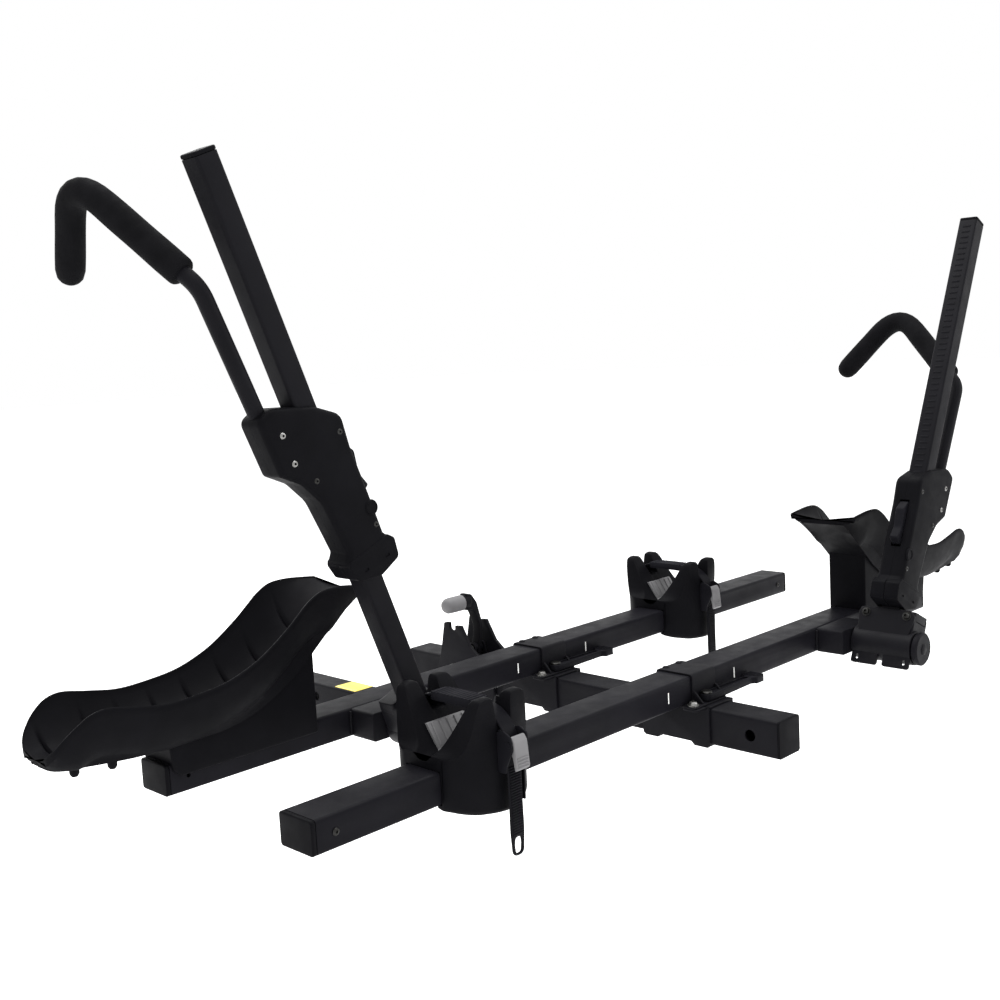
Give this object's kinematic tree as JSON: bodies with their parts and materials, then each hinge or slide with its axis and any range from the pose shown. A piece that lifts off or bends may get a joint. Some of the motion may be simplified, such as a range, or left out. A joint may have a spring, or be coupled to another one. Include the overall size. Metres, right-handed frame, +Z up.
{
  "type": "hitch mounted bike rack",
  "caption": "Tilting hitch rack for bikes: sliding bars with front-wheel scoops, rear-wheel cradles with ratchet straps, and folding masts with height-adjustable padded wheel hooks.",
  "frame": {"origin": "centre of the hitch pin hole in the shank", "axes": "+X along the bike bars and along the hitch pin, to the right seen from behind the vehicle; +Y from the rack towards the vehicle; +Z up"},
  "size_m": [1.624, 1.094, 0.8915],
  "materials": {
    "textured_steel": "fine-textured black powder coat",
    "satin_steel": "satin black powder coat",
    "plated_steel": "zinc plated",
    "moulded_plastic": "moulded matt black",
    "grey_plastic": "moulded mid grey",
    "strap_plastic": "smooth flexible strap",
    "soft_pad": "soft ribbed sleeve",
    "foam": "closed-cell foam with a skin",
    "label": "plain yellow film"
  },
  "bodies": {
    "shank": {"hitch_shank": "textured_steel", "cheek_plate_left": "textured_steel", "cheek_plate_right": "textured_steel", "tilt_bolt": "plated_steel", "tilt_nut": "plated_steel", "label_plate": "label"},
    "spine": {"spine_tube": "textured_steel", "spine_caps": "moulded_plastic", "lever_axle": "plated_steel", "outer_saddle": "textured_steel", "outer_clamp_band": "textured_steel", "outer_clamp_studs": "plated_steel", "inner_saddle": "textured_steel", "inner_clamp_band": "textured_steel", "inner_clamp_studs": "plated_steel"},
    "tilt_lever": {"tilt_lever": "textured_steel", "lever_grip": "grey_plastic"},
    "lock_pin": {"lock_pin": "plated_steel"},
    "outer_clamp_lever": {"outer_clamp_lever": "textured_steel"},
    "outer_tray": {"outer_bar": "satin_steel", "outer_bar_caps": "moulded_plastic", "outer_tray_screws": "plated_steel", "outer_arm_stub": "textured_steel", "outer_scoop": "moulded_plastic"},
    "outer_arm": {"outer_knuckle": "textured_steel", "outer_knuckle_bolts": "plated_steel", "outer_mast": "textured_steel", "outer_mast_cap": "moulded_plastic"},
    "outer_hook": {"outer_housing_near": "moulded_plastic", "outer_housing_far": "moulded_plastic", "outer_housing_screws": "plated_steel", "outer_hook_rod": "textured_steel", "outer_hook_foam": "foam"},
    "outer_trigger": {"outer_release_trigger": "moulded_plastic"},
    "outer_cradle": {"outer_cradle": "moulded_plastic", "outer_strap": "strap_plastic", "outer_strap_pad": "soft_pad", "outer_buckle_base": "moulded_plastic"},
    "outer_buckle_lever": {"outer_buckle_lever": "grey_plastic"},
    "inner_clamp_lever": {"inner_clamp_lever": "textured_steel"},
    "inner_tray": {"inner_bar": "satin_steel", "inner_bar_caps": "moulded_plastic", "inner_tray_screws": "plated_steel", "inner_arm_stub": "textured_steel", "inner_scoop": "moulded_plastic"},
    "inner_arm": {"inner_knuckle": "textured_steel", "inner_knuckle_bolts": "plated_steel", "inner_mast": "textured_steel", "inner_mast_cap": "moulded_plastic"},
    "inner_hook": {"inner_housing_near": "moulded_plastic", "inner_housing_far": "moulded_plastic", "inner_housing_screws": "plated_steel", "inner_hook_rod": "textured_steel", "inner_hook_foam": "foam"},
    "inner_trigger": {"inner_release_trigger": "moulded_plastic"},
    "inner_cradle": {"inner_cradle": "moulded_plastic", "inner_strap": "strap_plastic", "inner_strap_pad": "soft_pad", "inner_buckle_base": "moulded_plastic"},
    "inner_buckle_lever": {"inner_buckle_lever": "grey_plastic"}
  },
  "joints": [
    {"name": "tilt", "type": "hinge", "parent": "shank", "child": "spine", "pos_m": [0, -0.392, 0.1046], "axis": [-1, 0, 0], "range_deg": [-30, 90]},
    {"name": "tilt_lever_turn", "type": "hinge", "parent": "spine", "child": "tilt_lever", "pos_m": [0.006, -0.406, 0.143], "axis": [1, 0, 0], "range_deg": [-22, 0]},
    {"name": "lock_pin_slide", "type": "slide", "parent": "spine", "child": "lock_pin", "axis": [0, 1, 0], "range_m": [0, 0.0205]},
    {"name": "outer_tray_slide", "type": "slide", "parent": "spine", "child": "outer_tray", "axis": [1, 0, 0], "range_m": [-0.079, 0.079]},
    {"name": "outer_clamp_lever_turn", "type": "hinge", "parent": "spine", "child": "outer_clamp_lever", "pos_m": [-0.008, -0.8744, 0.1394], "axis": [0, 0, 1], "range_deg": [-100, 0]},
    {"name": "outer_arm_fold", "type": "hinge", "parent": "outer_tray", "child": "outer_arm", "pos_m": [0.352, -0.957, 0.1484], "axis": [0, -1, 0], "range_deg": [-20, 106]},
    {"name": "outer_hook_slide", "type": "slide", "parent": "outer_arm", "child": "outer_hook", "axis": [0.4384, 0, 0.8988], "range_m": [0, 0.405]},
    {"name": "outer_trigger_pull", "type": "slide", "parent": "outer_hook", "child": "outer_trigger", "axis": [0.8988, 0, -0.4384], "range_m": [0, 0.006], "stiffness_N_per_m": 900},
    {"name": "outer_cradle_slide", "type": "slide", "parent": "outer_tray", "child": "outer_cradle", "axis": [1, 0, 0], "range_m": [-0.13, 0.15]},
    {"name": "outer_buckle_lever_turn", "type": "hinge", "parent": "outer_cradle", "child": "outer_buckle_lever", "pos_m": [-0.434, -0.922, 0.2014], "axis": [-1, 0, 0], "range_deg": [0, 70]},
    {"name": "inner_tray_slide", "type": "slide", "parent": "spine", "child": "inner_tray", "axis": [1, 0, 0], "range_m": [-0.079, 0.079]},
    {"name": "inner_clamp_lever_turn", "type": "hinge", "parent": "spine", "child": "inner_clamp_lever", "pos_m": [-0.008, -0.5954, 0.1394], "axis": [0, 0, 1], "range_deg": [-100, 0]},
    {"name": "inner_arm_fold", "type": "hinge", "parent": "inner_tray", "child": "inner_arm", "pos_m": [-0.352, -0.678, 0.1484], "axis": [0, 1, 0], "range_deg": [-20, 100]},
    {"name": "inner_hook_slide", "type": "slide", "parent": "inner_arm", "child": "inner_hook", "axis": [-0.3584, 0, 0.9336], "range_m": [-0.175, 0.26]},
    {"name": "inner_trigger_pull", "type": "slide", "parent": "inner_hook", "child": "inner_trigger", "axis": [-0.9336, 0, -0.3584], "range_m": [0, 0.006], "stiffness_N_per_m": 900},
    {"name": "inner_cradle_slide", "type": "slide", "parent": "inner_tray", "child": "inner_cradle", "axis": [1, 0, 0], "range_m": [-0.08, 0.2]},
    {"name": "inner_buckle_lever_turn", "type": "hinge", "parent": "inner_cradle", "child": "inner_buckle_lever", "pos_m": [0.345, -0.643, 0.2014], "axis": [-1, 0, 0], "range_deg": [0, 70]}
  ],
  "couplings": [
    {"joint": "lock_pin_slide", "follows": "tilt_lever_turn", "m_per_rad": -0.0533}
  ]
}
